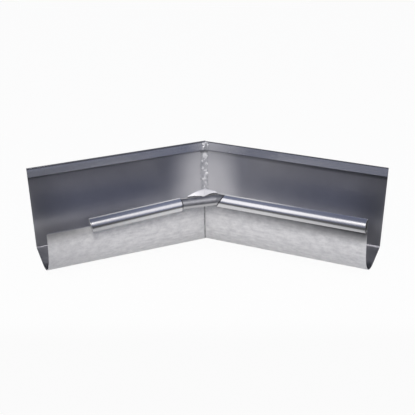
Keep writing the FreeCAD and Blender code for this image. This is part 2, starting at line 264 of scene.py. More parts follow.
where = add(tree, "ShaderNodeSeparateXYZ", {"Vector": add(tree, "ShaderNodeTexCoord").outputs["Object"]})
aside = add(tree, "ShaderNodeMath", {0: where.outputs["X"], 1: float(CENTRE[0]) * MM}, operation="SUBTRACT")
aside = add(tree, "ShaderNodeMath", {0: aside.outputs[0]}, operation="ABSOLUTE")
beside = add(tree, "ShaderNodeMapRange", {"Value": aside.outputs[0], "From Min": 0.3 * MM, "From Max": 1.1 * MM,
                                          "To Min": 0.9, "To Max": 0.0})
broken = add(tree, "ShaderNodeMapRange", {"Value": cloud.outputs[0], "From Min": 0.4, "From Max": 0.55,
                                          "To Min": 0.4})
beside = add(tree, "ShaderNodeMath", {0: beside.outputs[0], 1: broken.outputs[0]}, operation="MULTIPLY")
joint = add(tree, "ShaderNodeMix", {"Factor": beside.outputs[0], "A": tint, "B": linear("#5E5E60")},
            data_type="RGBA")
# Painted shade below the bead: darker from 50 mm up, growing towards the right end and towards the left end.
under = add(tree, "ShaderNodeMapRange", {"Value": where.outputs["Z"], "From Min": 50 * MM, "From Max": 71 * MM},
            interpolation_type="SMOOTHSTEP")
outward = add(tree, "ShaderNodeMapRange", {"Value": where.outputs["X"], "From Min": 0.0, "From Max": 160 * MM,
                                           "To Min": 0.12, "To Max": 1.0})
notch = add(tree, "ShaderNodeMapRange", {"Value": where.outputs["X"], "From Min": -105 * MM, "From Max": -135 * MM,
                                         "To Max": 0.5})
outward = add(tree, "ShaderNodeMath", {0: outward.outputs[0], 1: notch.outputs[0]}, operation="ADD")
smear = add(tree, "ShaderNodeMapRange", {"Value": where.outputs["X"], "From Min": -95 * MM, "From Max": -160 * MM,
                                         "To Max": 0.35})
smear = add(tree, "ShaderNodeMath", {0: smear.outputs[0], 1: streak.outputs[0]}, operation="MULTIPLY")
shade_and_smear = add(tree, "ShaderNodeMath", {0: under.outputs[0], 1: outward.outputs[0], 2: smear.outputs[0]},
            operation="MULTIPLY_ADD")
# Painted shadow: darker from 67 mm up, just below the bead and the joiner on the right length.
shade = add(tree, "ShaderNodeMapRange", {"Value": where.outputs["Z"], "From Min": 67 * MM, "From Max": 72 * MM,
                                         "To Max": 0.35})
on_right = add(tree, "ShaderNodeMapRange", {"Value": where.outputs["X"], "From Min": -8 * MM, "From Max": 0.0})
shade_and_smear = add(tree, "ShaderNodeMath", {0: shade.outputs[0], 1: on_right.outputs[0], 2: shade_and_smear.outputs[0]},
            operation="MULTIPLY_ADD")
forth = add(tree, "ShaderNodeMath", {0: where.outputs["Y"], 1: -float(COS), 2: float(CENTRE[1] * COS) * MM},
            operation="MULTIPLY_ADD")
forth = add(tree, "ShaderNodeMath", {0: aside.outputs[0], 1: -float(SIN), 2: forth.outputs[0]},
            operation="MULTIPLY_ADD")
front = add(tree, "ShaderNodeMapRange", {"Value": forth.outputs[0], "From Min": 20 * MM, "From Max": 60 * MM})
shade_and_smear = add(tree, "ShaderNodeMath", {0: shade_and_smear.outputs[0], 1: front.outputs[0]}, operation="MULTIPLY")
# The painted shade and the smear, mixed into the colour of the front.
shaded_and_smeared = add(tree, "ShaderNodeMix", {"Factor": shade_and_smear.outputs[0], "A": joint.outputs["Result"],
                                    "B": linear("#4A4A4C")}, data_type="RGBA")
rough = add(tree, "ShaderNodeMapRange", {"Value": cloud.outputs[0], "From Min": 0.3, "From Max": 0.7,
                                         "To Min": 0.42, "To Max": 0.5})
grain = add(tree, "ShaderNodeBump", {"Height": both.outputs[0], "Strength": 0.15, "Distance": 0.2 * MM})
shader = add(tree, "ShaderNodeBsdfPrincipled", {"Base Color": shaded_and_smeared.outputs["Result"], "Metallic": 0.05,
                                                "Roughness": rough.outputs[0], "Normal": grain.outputs[0]})
add(tree, "ShaderNodeOutputMaterial", {"Surface": shader.outputs[0]})

# Water face of the trough: the smoother side of the same sheet, satin from the mill. Beside the mitre the
# soldering flux has etched it to a pale matt band, wider on the right, where it fades slowly. The sole is painted
# darker towards the open ends, a painted shade, and a thin band of painted shadow runs just below the lip.
satin_zinc, tree = new_material("satin_galvanised_zinc")
uv = add(tree, "ShaderNodeUVMap", uv_map="flat").outputs["UV"]
cloud = add(tree, "ShaderNodeTexNoise", {"Vector": uv, "Scale": 1 / (22 * MM), "Detail": 3.0})
tint = add(tree, "ShaderNodeValToRGB", {"Fac": cloud.outputs[0]},
           [(0.2, "#BABABD"), (0.8, "#C1C1C4")]).outputs["Color"]
spread = add(tree, "ShaderNodeSeparateXYZ", {"Vector": uv})
# Painted shade: the sole darkens towards the open ends.
sole = add(tree, "ShaderNodeMapRange", {"Value": spread.outputs["Y"], "From Min": 109 * MM, "From Max": 113 * MM})
end = add(tree, "ShaderNodeMapRange", {"Value": spread.outputs["X"], "From Min": 155 * MM, "From Max": 210 * MM,
                                       "To Max": 0.93})
sole_end_shade = add(tree, "ShaderNodeMath", {0: sole.outputs[0], 1: end.outputs[0]}, operation="MULTIPLY")
tint = add(tree, "ShaderNodeMix", {"Factor": sole_end_shade.outputs[0], "A": tint, "B": linear("#56585E")},
           data_type="RGBA")
# Painted shadow: a thin dark band just below the lip.
lip_shade_band = add(tree, "ShaderNodeMapRange", {"Value": spread.outputs["Y"], "From Min": 23 * MM, "From Max": 26 * MM,
                                        "To Min": 0.6, "To Max": 0.0})
tint = add(tree, "ShaderNodeMix", {"Factor": lip_shade_band.outputs[0], "A": tint.outputs["Result"], "B": linear("#3E3E42")},
           data_type="RGBA")
sheen = add(tree, "ShaderNodeBsdfPrincipled", {"Base Color": tint.outputs["Result"], "Metallic": 1.0,
                                               "Roughness": 0.28})
wander = add(tree, "ShaderNodeMath", {0: cloud.outputs[0], 1: 6 * MM, 2: spread.outputs["X"]},
             operation="MULTIPLY_ADD")
where = add(tree, "ShaderNodeSeparateXYZ", {"Vector": add(tree, "ShaderNodeTexCoord").outputs["Object"]})
left_of = add(tree, "ShaderNodeMapRange", {"Value": where.outputs["X"], "From Min": -30 * MM, "From Max": 0.0,
                                           "To Min": 7 * MM, "To Max": 0.0})
wander = add(tree, "ShaderNodeMath", {0: wander.outputs[0], 1: left_of.outputs[0]}, operation="ADD")
etched = add(tree, "ShaderNodeMapRange", {"Value": wander.outputs[0], "From Min": 14 * MM, "From Max": 64 * MM,
                                          "To Min": 0.9, "To Max": 0.0}, interpolation_type="SMOOTHSTEP")
depth = add(tree, "ShaderNodeMapRange", {"Value": spread.outputs["Y"], "From Min": 23 * MM, "From Max": 40 * MM,
                                         "To Min": 0.6, "To Max": 1.0})
right_of = add(tree, "ShaderNodeMapRange", {"Value": where.outputs["X"], "From Max": 40 * MM, "To Max": 0.16})
tail = add(tree, "ShaderNodeMapRange", {"Value": where.outputs["X"], "From Min": 45 * MM, "From Max": 125 * MM,
                                        "To Min": 1.0, "To Max": 0.0})
tail = add(tree, "ShaderNodeMath", {0: right_of.outputs[0], 1: tail.outputs[0]}, operation="MULTIPLY")
etched = add(tree, "ShaderNodeMath", {0: etched.outputs[0], 1: depth.outputs[0]}, operation="MULTIPLY")
etched = add(tree, "ShaderNodeMath", {0: etched.outputs[0], 1: tail.outputs[0]}, operation="MAXIMUM")
frost = add(tree, "ShaderNodeValToRGB", {"Fac": cloud.outputs[0]},
            [(0.2, "#C8C8CA"), (0.8, "#D2D2D4")]).outputs["Color"]
matt = add(tree, "ShaderNodeBsdfPrincipled", {"Base Color": frost, "Metallic": 0.3, "Roughness": 0.5})
mixed = add(tree, "ShaderNodeMixShader", {0: etched.outputs[0], 1: sheen.outputs[0], 2: matt.outputs[0]})
add(tree, "ShaderNodeOutputMaterial", {"Surface": mixed.outputs[0]})

# Bead, rim and lip: the same zinc, rubbed smooth by the rolls and the brake, so it mirrors in clear bands. The
# tight fold above the lip is painted dark, a painted shade, flux has frosted the lip beside the corner, further on
# the right, and the beads are painted darker towards the open ends, a painted shade where their highlights fade.
rolled_zinc, tree = new_material("rolled_galvanised_zinc")
uv = add(tree, "ShaderNodeUVMap", uv_map="flat").outputs["UV"]
long_way = add(tree, "ShaderNodeMapping", {"Vector": uv, "Scale": (1 / (60 * MM), 1 / (5 * MM), 1)})
cloud = add(tree, "ShaderNodeTexNoise", {"Vector": long_way.outputs[0], "Scale": 1.0, "Detail": 3.0})
tint = add(tree, "ShaderNodeValToRGB", {"Fac": cloud.outputs[0]},
           [(0.2, "#D0D0D2"), (0.8, "#D7D7D9")]).outputs["Color"]
where = add(tree, "ShaderNodeSeparateXYZ", {"Vector": add(tree, "ShaderNodeTexCoord").outputs["Object"]})
# Painted shade: the top of the tight fold above the lip is painted dark.
fold = add(tree, "ShaderNodeMapRange", {"Value": where.outputs["Z"], "From Min": 98 * MM, "From Max": 98.8 * MM})
bead = add(tree, "ShaderNodeMapRange", {"Value": where.outputs["Z"], "From Min": 88 * MM, "From Max": 90 * MM,
                                        "To Min": 1.0, "To Max": 0.0})
# Painted shade: the beads darken towards the open ends, where their highlights fade.
left_way = add(tree, "ShaderNodeMapRange", {"Value": where.outputs["X"], "From Min": -45 * MM,
                                            "From Max": -120 * MM, "To Max": 0.46})
right_way = add(tree, "ShaderNodeMapRange", {"Value": where.outputs["X"], "From Min": 60 * MM,
                                             "From Max": 175 * MM, "To Max": 0.44})
bead_end_shade = add(tree, "ShaderNodeMath", {0: left_way.outputs[0], 1: right_way.outputs[0]}, operation="ADD")
# Painted shade of the bead ends and of the fold, mixed into the colour.
bead_and_fold_shade = add(tree, "ShaderNodeMath", {0: bead_end_shade.outputs[0], 1: bead.outputs[0], 2: fold.outputs[0]},
             operation="MULTIPLY_ADD")
tint = add(tree, "ShaderNodeMix", {"Factor": bead_and_fold_shade.outputs[0], "A": tint, "B": linear("#6A6A6E")},
           data_type="RGBA")
sheen = add(tree, "ShaderNodeBsdfPrincipled", {"Base Color": tint.outputs["Result"], "Metallic": 1.0,
                                               "Roughness": 0.25})
lip = add(tree, "ShaderNodeMapRange", {"Value": where.outputs["Z"], "From Min": 88 * MM, "From Max": 90 * MM,
                                       "To Max": 0.45})
inward = add(tree, "ShaderNodeMapRange", {"Value": where.outputs["X"], "From Min": -24 * MM, "From Max": 0.0})
fading = add(tree, "ShaderNodeMapRange", {"Value": where.outputs["X"], "From Min": 5 * MM, "From Max": 50 * MM,
                                          "To Min": 1.0, "To Max": 0.0})
fluxed = add(tree, "ShaderNodeMath", {0: lip.outputs[0], 1: inward.outputs[0]}, operation="MULTIPLY")
fluxed = add(tree, "ShaderNodeMath", {0: fluxed.outputs[0], 1: fading.outputs[0]}, operation="MULTIPLY")
matt = add(tree, "ShaderNodeBsdfPrincipled", {"Base Color": tint.outputs["Result"], "Metallic": 0.3,
                                              "Roughness": 0.5})
mixed = add(tree, "ShaderNodeMixShader", {0: fluxed.outputs[0], 1: sheen.outputs[0], 2: matt.outputs[0]})
add(tree, "ShaderNodeOutputMaterial", {"Surface": mixed.outputs[0]})

# Cut edges: bright where the shears went through the coating.
cut_edge, tree = new_material("sheared_zinc_edge")
where = add(tree, "ShaderNodeTexCoord").outputs["Object"]
nick = add(tree, "ShaderNodeTexNoise", {"Vector": where, "Scale": 1 / (2 * MM)})
tint = add(tree, "ShaderNodeValToRGB", {"Fac": nick.outputs[0]},
           [(0.3, "#A9AAAE"), (0.7, "#D2D3D6")]).outputs["Color"]
shader = add(tree, "ShaderNodeBsdfPrincipled", {"Base Color": tint, "Metallic": 1.0, "Roughness": 0.4})
add(tree, "ShaderNodeOutputMaterial", {"Surface": shader.outputs[0]})

ZINC = [dull_zinc, satin_zinc, cut_edge, rolled_zinc]

LAP_INSET = SHEET + 0.05                       # the sheet and a film of solder
RIGHT_RIM = 87.4


def round_axis(height, radius):
    """Axis of a bead's round, from the point and heading where the round begins."""
    z = rim_start(height)
    u, z, h = trace((wall_at(z), z, 90 - LEAN), [("bend", -(90 - LEAN - BEAD_RISE), RIM_RADIUS),
                                                 ("straight", BEAD_FLAT, 0)])[-1]
    a = np.radians(h - 90)
    return np.array([u + radius * np.cos(a), z + radius * np.sin(a)])


RIGHT_AXIS = round_axis(RIGHT_RIM, BEAD_RADIUS - LAP_INSET)
BEAD_CROSSING = RIGHT_AXIS[0] * TAN
RIM_CROSSING = wall_at(rim_start(CORNER_RIM, WEB_RADIUS)) * TAN
LEFT_START, LEFT_END = BEAD_CROSSING + LEFT_SETBACK, LEFT_LENGTH - NOTCH_LENGTH
WEB_ENDS = [place(-1, RIM_CROSSING + LEFT_WEB, wall_at(rim_start(LEFT_RIM[0], WEB_RADIUS)) + RIM_RADIUS, 0),
            place(1, RIM_CROSSING + RIGHT_WEB, wall_at(rim_start(RIGHT_RIM, WEB_RADIUS)) + RIM_RADIUS, 0)]
between = WEB_ENDS[0] - WEB_ENDS[1]
FRONT = np.array([-between[1], between[0], 0]) / np.hypot(between[0], between[1])


def corner_strip(side, inset, low_rows, length, curve, end_height, end_fall):
    """Upper wall and flattened strip beside the mitre. The rim is highest at the mitre and comes down to the bead's
    with a power of the distance. The strip bends forward from it, and each of its columns runs on until it meets
    the upright plane through the two ends of the rim."""
    share = np.linspace(0, 1, FAN)
    top = rim_start(CORNER_RIM + (end_height - CORNER_RIM) * share ** curve, WEB_RADIUS)
    fall = np.radians(WEB_FALL + (end_fall - WEB_FALL) * share)
    low = low_rows[-1, 1]
    wall = np.concatenate([low_rows[:, 1:2] + 0 * top, low + np.linspace(0, 1, 4)[1:, None] * (top - low)])
    back = np.radians(180 - LEAN)
    swing = back + np.linspace(0, 1, 13)[1:, None] * (np.pi / 2 - fall - back)
    forward = np.linspace(0, 1, 5)[1:, None]

    def laid(u, z):
        return place(side, u * TAN * (1 - share) + share * (RIM_CROSSING + length), u, z)

    grids = []
    for stand in (inset, inset + SHEET):
        u = wall_at(top) - WEB_RADIUS * np.cos(back) + (WEB_RADIUS + stand) * np.cos(swing)
        z = top - WEB_RADIUS * np.sin(back) + (WEB_RADIUS + stand) * np.sin(swing)
        u = np.concatenate([wall_at(wall) + stand * np.cos(back), u])
        z = np.concatenate([wall + stand * np.sin(back), z])
        near, far = laid(u[-1], z[-1]), laid(u[-1] + np.cos(fall), z[-1] - np.sin(fall))
        reach = np.maximum(((WEB_ENDS[1] - near) @ FRONT) / ((far - near) @ FRONT), 0.1)
        u = np.concatenate([u, u[-1] + forward * reach * np.cos(fall)])
        z = np.concatenate([z, z[-1] - forward * reach * np.sin(fall)])
        grids.append(laid(u, z))
    t = np.linspace(UPPER_DOWN, UPPER_DOWN + 0.03, len(u))[:, None]
    flat = np.stack(np.broadcast_arrays(share * length * MM, t), -1)
    return grids[0], grids[1], flat


section, TAB_ROW = channel_rows()
LIP_ROWS = int(np.argmax(section[:, 2] >= 200))  # rows of the lip and of the top of its fold
left_upper = wall_rows(NOTCH_HEIGHT, rim_start(LEFT_RIM[0]))
left_bead = bead_rows(LEFT_RIM[0], BEAD_RADIUS)
LEFT_WEB_END = RIM_CROSSING + LEFT_WEB


def left_end(z):
    """Snipped end of the bead: a plane that leans back towards the corner below the rim."""
    return LEFT_END + (z - LEFT_RIM[1]) * LEFT_CUT


left_share = np.linspace(0, 1, 25)             # columns of the bead
notch_cut = left_end(NOTCH_HEIGHT)
beside_web = stations(LEFT_WEB_END, LEFT_START)
below_bead = np.stack([0 * left_share, LEFT_START + (notch_cut - LEFT_START) * left_share], 1)
left_along = np.concatenate([beside_web, below_bead[1:], stations(notch_cut, LEFT_LENGTH)[FAN:]])
left_trough = patch(-1, section, 0, lambda line: mitred(line, left_along))
left_gap = patch(-1, left_upper, 0, lambda line: mitred(line, beside_web[FAN - 1:]))


def falling_bead():
    """Upper wall and bead of the left length. Every column is the inner section slid down the plane of the wall by
    the fall of the rim so far, the wall's rows in proportion and the bead's rows whole."""
    whole = np.concatenate([left_upper, left_bead[1:]])
    share = np.clip((whole[:, 1:2] - NOTCH_HEIGHT) / (left_upper[-1, 1] - NOTCH_HEIGHT), 0, 1)
    share[len(left_upper):] = 1
    drop = LEFT_RIM[1] - LEFT_RIM[0]
    grids = []
    for line in (off(whole, 0), off(whole, SHEET)):
        u, z = line[:, :1], line[:, 1:2]
        s = LEFT_START + (left_end(z + share * drop) - LEFT_START) * left_share
        fall = share * drop * (s - LEFT_START) / (LEFT_END - LEFT_START)
        grids.append(place(-1, s, u + fall * LEAN_TAN, z + fall))
    step = np.linalg.norm(np.diff(whole[:, :2], axis=0), axis=1)
    t = UPPER_DOWN + np.concatenate([[0], np.cumsum(step)]) * MM
    flat = np.stack(np.broadcast_arrays(s * MM, t[:, None]), -1)
    return grids[0], grids[1], flat


left_web = corner_strip(-1, 0, left_upper, LEFT_WEB, 2, LEFT_RIM[0], WEB_FALL)
left = thick_sheet("left_gutter_sheet", [left_trough, left_gap, falling_bead(), left_web], ZINC, [1, 3, 3, 1],
                   LIP_ROWS * (len(left_along) - 1))
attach(left, "root")
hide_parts("left_gutter")

# RIGHT LENGTH OF GUTTER
# The other half of the mitre, from the same sheet. It nests one sheet inside the left length, and a tab of it is
# bent round the corner and lies under the solder. Its bead is level and runs to the outer end.

RIGHT_LENGTH, RIGHT_SETBACK = 216.2, 19.3
RIGHT_WEB_FALL, FOLD_SLIT, RIM_FOLD = 38.0, 1.2, 2.0
RIGHT_CUT = np.tan(np.radians(30.0))
LAP_WIDTH = 6.0
ROW_SLACK = 0.6                                # under one row, because rows cut a bend's arc short


def right_start(z):
    """Snipped start of the right bead: a plane that leans away from the corner above the axis."""
    return BEAD_CROSSING + RIGHT_SETBACK + (z - RIGHT_AXIS[1]) * RIGHT_CUT


right_bead = bead_rows(RIGHT_RIM, BEAD_RADIUS - LAP_INSET)
down = np.cumsum(np.linalg.norm(np.diff(right_bead[:, :2], axis=0), axis=1))
fold_end = int(np.argmax(down > RIM_RADIUS * np.radians(90 - LEAN - BEAD_RISE) + RIM_FOLD - ROW_SLACK)) + 1
right_upper = wall_rows(NOTCH_HEIGHT, rim_start(RIGHT_RIM))
right_web_end = RIM_CROSSING + RIGHT_WEB
fold_start = right_web_end + FOLD_SLIT
bead_start = right_start(off(right_bead[fold_end:fold_end + 1], LAP_INSET)[0, 1])
right_share = np.linspace(0, 1, 41)            # columns of the bead
beside_bead = np.stack([0 * right_share, bead_start + (RIGHT_LENGTH - bead_start) * right_share], 1)[1:]
right_along = np.concatenate([stations(right_web_end, fold_start, bead_start), beside_bead])
right_trough = patch(1, section, LAP_INSET, lambda line: mitred(line, right_along))
slit_along = stations(right_web_end, fold_start)[FAN - 1:]
slit = patch(1, right_upper, LAP_INSET, lambda line: mitred(line, slit_along))
fold_line = np.concatenate([right_upper, right_bead[1:fold_end + 1]])
fold_along = np.concatenate([stations(fold_start, bead_start)[FAN - 1:], beside_bead])
rim_fold = patch(1, fold_line, LAP_INSET, lambda line: mitred(line, fold_along))
roll = patch(1, right_bead[fold_end:], LAP_INSET,
             lambda line: right_start(line[:, 1:2]) + (RIGHT_LENGTH - right_start(line[:, 1:2])) * right_share)
tab_along = np.stack([np.ones(4), np.linspace(0, LAP_WIDTH, 4)], 1)
tab = patch(-1, section[TAB_ROW:], LAP_INSET, lambda line: mitred(line, tab_along))
right_web = corner_strip(1, LAP_INSET, right_upper, RIGHT_WEB, 6, RIGHT_RIM, RIGHT_WEB_FALL)
right = thick_sheet("right_gutter_sheet", [right_trough, slit, rim_fold, roll, tab, right_web], ZINC,
                    [1, 3, 3, 3, 1, 1], LIP_ROWS * (len(right_along) - 1))
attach(right, "root")
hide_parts("right_gutter")

# BEAD JOINER
# A half-round channel of thicker sheet, bent at two places, that is pushed into both beads and bridges the corner
# between their cut ends. Older stock than the gutter, so its zinc is duller.

JOINER_RADIUS, JOINER_SHEET, JOINER_WRAP, JOINER_INSERT = 5.5, 0.6, 200.0, 16.0
LEFT_KINK, RIGHT_KINK = 25.8, 14.8
CLEARANCE = 0.1
SEAT = (BEAD_RADIUS - JOINER_RADIUS - CLEARANCE) * np.array([np.cos(np.pi / 4), np.sin(np.pi / 4)])


def left_axis(s):
    """Joiner's axis in the left bead, straight between the two ends of that bead."""
    a, b = (round_axis(h, BEAD_RADIUS) + SEAT for h in LEFT_RIM)
    u, z = a + (b - a) * (s - LEFT_START) / (LEFT_END - LEFT_START)
    return place(-1, s, u, z)


def right_axis(s):
    """Joiner's axis in the right bead, which is level."""
    u, z = RIGHT_AXIS + SEAT
    return place(1, s, u, z)


JOINER_LINE = np.array([right_axis(BEAD_CROSSING + RIGHT_SETBACK + JOINER_INSERT),
                        right_axis(BEAD_CROSSING + RIGHT_KINK), left_axis(BEAD_CROSSING + LEFT_KINK),
                        left_axis(LEFT_START + JOINER_INSERT)])


def joiner_grid(radius):
    """Arc of the channel carried along the joiner's line. At a bend the arc lies in the plane that halves the two
    runs, which is found by sliding each point along its run until it meets that plane."""
    turn = np.radians(np.linspace(JOINER_WRAP / 2, -JOINER_WRAP / 2, 25))
    way = np.diff(JOINER_LINE, axis=0)
    way = way / np.linalg.norm(way, axis=1)[:, None]
    side = np.cross([0, 0, 1], way)
    up = np.cross(way, side)
    plane = np.concatenate([way[:1], way[:-1] + way[1:], way[-1:]])
    columns = []
    for k, run_of in ((0, 0), (1, 1), (2, 1), (3, 2)):
        arc = radius * MM * (np.cos(turn)[:, None] * side[run_of] + np.sin(turn)[:, None] * up[run_of])
        slide = -(arc @ plane[k]) / (way[run_of] @ plane[k])
        columns.append(JOINER_LINE[k] + arc + slide[:, None] * way[run_of])
    columns = np.stack(columns, 1)
    place_at = np.concatenate([np.linspace(0, 1, 8), np.linspace(1, 2, 12)[1:], np.linspace(2, 3, 8)[1:]])
    low = np.minimum(place_at.astype(int), 2)
    part = (place_at - low)[None, :, None]
    return columns[:, low] * (1 - part) + columns[:, low + 1] * part


outer, inner = joiner_grid(JOINER_RADIUS), joiner_grid(JOINER_RADIUS - JOINER_SHEET)
length = np.concatenate([[0], np.cumsum(np.linalg.norm(np.diff(outer[12], axis=0), axis=1))])
around = np.linspace(0, JOINER_RADIUS * MM * np.radians(JOINER_WRAP), len(outer))
flat = np.stack(np.broadcast_arrays(length[None, :], around[:, None]), -1)

# Joiner: older zinc, grey and satin, smudged in patches about 6 mm across, painted lighter along its lower half as
# painted light, and painted dark in the gaps at the mouths of the beads as painted shadow.
grey_zinc, tree = new_material("weathered_zinc")
where = add(tree, "ShaderNodeTexCoord").outputs["Object"]
smudge = add(tree, "ShaderNodeTexNoise", {"Vector": where, "Scale": 1 / (6 * MM), "Detail": 4.0})
tint = add(tree, "ShaderNodeValToRGB", {"Fac": smudge.outputs[0]},
           [(0.3, "#6A6B6F"), (0.7, "#84858A")]).outputs["Color"]
uv = add(tree, "ShaderNodeUVMap", uv_map="flat").outputs["UV"]
round_way = add(tree, "ShaderNodeSeparateXYZ", {"Vector": uv}).outputs["Y"]
# Painted light: the lower half of the channel is painted lighter.
lower_half_light = add(tree, "ShaderNodeMapRange", {"Value": round_way, "From Min": 9.6 * MM, "From Max": 11.2 * MM})
tint = add(tree, "ShaderNodeMix", {"Factor": lower_half_light.outputs[0], "A": tint, "B": linear("#C6C6C8")},
           data_type="RGBA")
for lie, mouth in (((-COS, -SIN, 0.0), LEFT_START), ((COS, -SIN, -RIGHT_CUT), right_start(0))):
    ahead = add(tree, "ShaderNodeVectorMath", {0: where, 1: lie}, operation="DOT_PRODUCT").outputs["Value"]
    edge = (mouth + CENTRE @ lie) * MM
    # Painted shadow in the gap where the channel enters the mouth of a bead.
    mouth_shadow = add(tree, "ShaderNodeMapRange", {"Value": ahead, "From Min": edge - 1.7 * MM,
                                           "From Max": edge - 0.8 * MM, "To Max": 0.85})
    tint = add(tree, "ShaderNodeMix", {"Factor": mouth_shadow.outputs[0], "A": tint.outputs["Result"],
                                       "B": linear("#28282A")}, data_type="RGBA")
rough = add(tree, "ShaderNodeMapRange", {"Value": smudge.outputs[0], "From Min": 0.3, "From Max": 0.7,
                                         "To Min": 0.48, "To Max": 0.6})
shader = add(tree, "ShaderNodeBsdfPrincipled", {"Base Color": tint.outputs["Result"], "Metallic": 0.8,
                                                "Roughness": rough.outputs[0]})
add(tree, "ShaderNodeOutputMaterial", {"Surface": shader.outputs[0]})
joiner = thick_sheet("bead_joiner_channel", [(outer, inner, flat)], [grey_zinc, grey_zinc, cut_edge])
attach(joiner, "root")
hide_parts("bead_joiner")

# SOLDER
# Tin-lead solder run by hand along the inside of the mitre and over the front of the lip. It covers the lap tab,
# thins out to both sides and is left in lumps and runs where the iron was lifted.

SOLDER_LEFT, SOLDER_RIGHT, SOLDER_TOP, LIP_SOLDER = 7.0, 4.0, 88.0, 5.0
SOLDER_THICK, FILM, BANK = 0.8, 0.02, 0.4      # at most, at the margins and along the mitre
SEAM_DROPS = [(-1.9, 5.5, 1.7, 0.8), (0.7, 6.5, 1.6, 0.8), (2.6, 17, 1.1, 0.6), (0.9, 25, 1.0, 0.6),
              (2.0, 29, 1.4, 0.7), (-4.2, 13, 1.2, 0.5), (-2.6, 36, 1.2, 0.5), (-1.2, 47, 1.0, 0.6),
              (0.4, 52, 1.0, 0.6), (-3.5, 22, 1.3, 0.5)]
LIP_DROPS = [(3.0, 5.5, 1.6, 0.35), (0.3, 7.5, 1.3, 0.3)]
RING_AT, RING_RADIUS, RING_WIDTH = (-2.9, 5.0), 1.7, 0.7


def ripple(x, y, count, length, seed):
    """Smooth unevenness: a sum of plane waves of about one length in random directions, about -1 to 1."""
    draw = np.random.default_rng(seed)
    a, p = draw.uniform(0, 2 * np.pi, (2, count))
    k = 2 * np.pi / (length * draw.uniform(0.7, 1.6, count))
    waves = np.sin(k * (x[..., None] * np.cos(a) + y[..., None] * np.sin(a)) + p)
    return waves.sum(-1) / np.sqrt(count)


def drops(x, y, places):
    """Uneven drops: each adds a bell of its height and radius at its place, pulled about by ripples."""
    x, y = x + 0.7 * ripple(x, y, 6, 4, 5), y + 0.7 * ripple(x, y, 6, 4, 6)
    x0, y0, radius, high = np.array(places).T
    return (high * np.exp(-((x[..., None] - x0) ** 2 + (y[..., None] - y0) ** 2) / radius ** 2)).sum(-1)


def solder_grid(side, line, width, count, back, way, thickness):
    """Strip beside the mitre on one length. Its back lies on the sheet at an offset that may change across the
    strip, and its front stands off the back's inner level by a thickness that is a function of the distance across,
    counted from the mitre, and of the distance down the section. The flat coordinates are that thickness and the
    distance down."""
    down = np.concatenate([[0], np.cumsum(np.linalg.norm(np.diff(line[:, :2], axis=0), axis=1))])
    ragged = 0.88 + 0.12 * np.clip(ripple(down, 0 * down + 20 * side, 6, 5, 3), -1, 1)
    w = width * np.linspace(0, 1, count)[None, :] * ragged[:, None]
    y = down[:, None] + 0 * w
    a = np.radians(line[:, 2] + 90)[:, None]
    layer = []
    relief = thickness(side * w, y, np.linspace(0, 1, count)[None, :] + 0 * w)
    for stand in (back[0] + way * relief, np.where(w > LAP_WIDTH, back[1], back[0])):
        u, z = line[:, :1] + stand * np.cos(a), line[:, 1:2] + stand * np.sin(a)
        layer.append(place(side, u * TAN + w, u, z))
    return layer[0], layer[1], np.stack([relief, y], -1) * MM


def seam_thickness(x, y, share):
    """A low bank along the mitre, uneven by ripples, with drops on it. It thins to a film at the strip's margin."""
    lump = 0.7 + 0.3 * ripple(x, y, 14, 7, 11)
    high = BANK * np.cos(share * np.pi / 2) ** 2 * lump + drops(x, y, SEAM_DROPS)
    return np.clip(high, 0.0, SOLDER_THICK) * np.minimum(1, (1 - share) * 6) + FILM


def lip_thickness(x, y, share):
    """A thin coat with a ring where a drop has sunk and drops beside it. It thins to a film at the margin."""
    ring = np.exp(-((np.hypot(x - RING_AT[0], y - RING_AT[1]) - RING_RADIUS) / RING_WIDTH) ** 2)
    high = 0.25 + 0.5 * ring + drops(x, y, LIP_DROPS)
    return np.clip(high, 0.0, SOLDER_THICK) * np.minimum(1, (1 - share) * 3) + FILM


coarse = section[TAB_ROW:]
fine = np.linspace(0, len(coarse) - 1, 5 * len(coarse))
seam_line = np.stack([np.interp(fine, np.arange(len(coarse)), coarse[:, k]) for k in range(3)], 1)
seam_line = seam_line[(seam_line[:, 1] <= SOLDER_TOP) | (seam_line[:, 0] > 1)]
up_lip = np.radians(LIP_ANGLE + 90)
lip_line = np.linspace(section[0], section[0] + LIP_LENGTH * np.array([np.cos(up_lip), np.sin(up_lip), 0]), 21)
tabbed = LAP_INSET + SHEET
strips = [solder_grid(-1, seam_line, SOLDER_LEFT, 25, (tabbed, SHEET), 1, seam_thickness),
          solder_grid(1, seam_line, SOLDER_RIGHT, 15, (tabbed, tabbed), 1, seam_thickness),
          solder_grid(-1, lip_line, LIP_SOLDER, 17, (0, 0), -1, lip_thickness),
          solder_grid(1, lip_line, LIP_SOLDER, 17, (LAP_INSET, LAP_INSET), -1, lip_thickness)]

# Solder: tin-lead, grey where it is a thin film and bright on its lumps, finely dimpled as it froze. Just under the
# lip it is painted dark, a painted shadow.
grey_solder, tree = new_material("tin_lead_solder")
where = add(tree, "ShaderNodeTexCoord").outputs["Object"]
skin = add(tree, "ShaderNodeTexNoise", {"Vector": where, "Scale": 1 / (2.6 * MM), "Detail": 3.0})
relief = add(tree, "ShaderNodeSeparateXYZ", {"Vector": add(tree, "ShaderNodeUVMap", uv_map="flat").outputs["UV"]})
lump = add(tree, "ShaderNodeMapRange", {"Value": relief.outputs["X"], "From Min": 0.1 * MM, "From Max": 0.75 * MM})
lump = add(tree, "ShaderNodeMath", {0: skin.outputs[0], 1: 1.1, 2: lump.outputs[0]}, operation="MULTIPLY_ADD")
height = add(tree, "ShaderNodeSeparateXYZ", {"Vector": where}).outputs["Z"]
coat = add(tree, "ShaderNodeMapRange", {"Value": height, "From Min": 88.5 * MM, "From Max": 90 * MM, "To Max": 0.4})
lump = add(tree, "ShaderNodeMath", {0: lump.outputs[0], 1: coat.outputs[0]}, operation="SUBTRACT")
